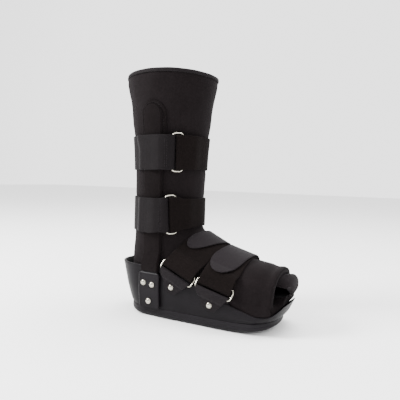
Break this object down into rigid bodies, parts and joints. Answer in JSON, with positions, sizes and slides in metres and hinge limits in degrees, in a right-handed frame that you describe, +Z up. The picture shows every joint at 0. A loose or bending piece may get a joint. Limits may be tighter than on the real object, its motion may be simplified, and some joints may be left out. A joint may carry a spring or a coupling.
{
  "type": "walking boot",
  "caption": "Rocker-soled walker with a padded L-shaped liner, a plastic shell with two side struts, and pile straps through wire rings.",
  "frame": {"origin": "middle of the footprint, on the ground", "axes": "+Z up along the leg, +X towards the toe, +Y away from the side with the rings"},
  "size_m": [0.266, 0.1292, 0.354],
  "materials": {
    "rubber_sole": "matte",
    "shell_plastic": "satin",
    "strut_plastic": "satin",
    "liner_cloth": "short pile",
    "flap_cloth": "short pile",
    "sleeve_cloth": "short pile",
    "binding_tape": "woven",
    "smooth_strap": "brushed, woven",
    "pile_strap": "loop pile",
    "tab_webbing": "woven",
    "ring_wire": "polished nickel plate",
    "rivet_metal": "polished nickel plate"
  },
  "bodies": {
    "root": {"outsole": "rubber_sole", "shell": "shell_plastic", "liner": "liner_cloth", "toe_flap": "flap_cloth", "collar_binding": "binding_tape", "upright_right": "strut_plastic", "upright_left": "strut_plastic", "sleeve_right": "sleeve_cloth", "sleeve_left": "sleeve_cloth", "upper_strap_back": "smooth_strap", "upper_strap_front": "pile_strap", "ring_upper": "ring_wire", "lower_strap_back": "smooth_strap", "lower_strap_front": "pile_strap", "ring_lower": "ring_wire", "ankle_strap": "pile_strap", "ankle_tongue": "smooth_strap", "ankle_tab": "tab_webbing", "ring_ankle": "ring_wire", "instep_strap": "pile_strap", "instep_tongue": "smooth_strap", "instep_tab": "tab_webbing", "ring_instep": "ring_wire", "rivet_back_right": "rivet_metal", "rivet_front_right": "rivet_metal", "rivet_low_right": "rivet_metal", "rivet_ankle_right": "rivet_metal", "rivet_instep_right": "rivet_metal", "rivet_back_left": "rivet_metal", "rivet_front_left": "rivet_metal", "rivet_low_left": "rivet_metal", "rivet_ankle_left": "rivet_metal", "rivet_instep_left": "rivet_metal"}
  },
  "joints": []
}
